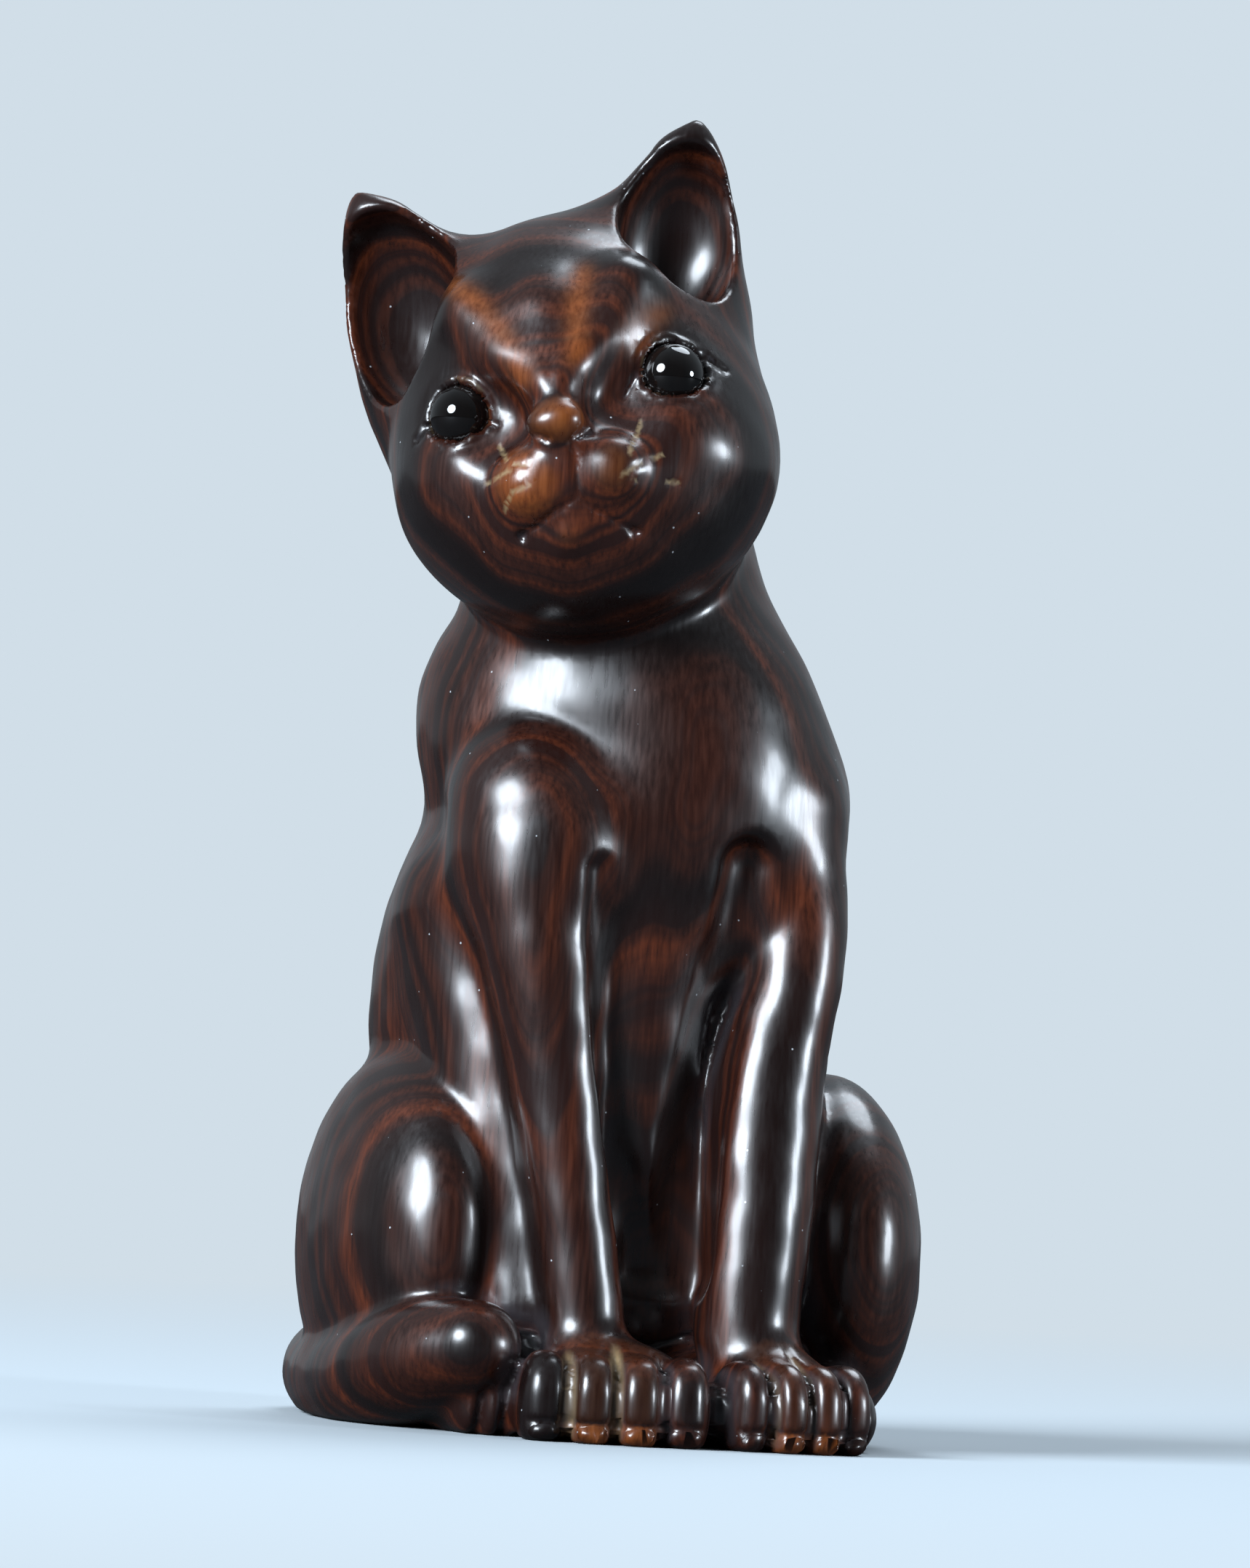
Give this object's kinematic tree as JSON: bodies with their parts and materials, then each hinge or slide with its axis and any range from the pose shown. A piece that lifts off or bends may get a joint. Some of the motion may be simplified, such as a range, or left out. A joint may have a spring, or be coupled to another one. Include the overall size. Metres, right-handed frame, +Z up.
{
  "type": "netsuke",
  "caption": "Seated cat carved in the round from dark polished wood, head turned and tilted, tail curled round to the front paws, with inlaid polished black eyes.",
  "frame": {"origin": "on the flat underside, under the middle of the seated body", "axes": "+Z up through the cat, -Y the way its chest faces, +X towards the cat's left side"},
  "size_m": [0.028, 0.0295, 0.0563],
  "materials": {
    "dark_wood": "oiled and polished, satin to glossy",
    "black_inlay": "polished black horn"
  },
  "bodies": {
    "root": {"cat_body": "dark_wood", "right_eye": "black_inlay", "left_eye": "black_inlay"}
  },
  "joints": []
}
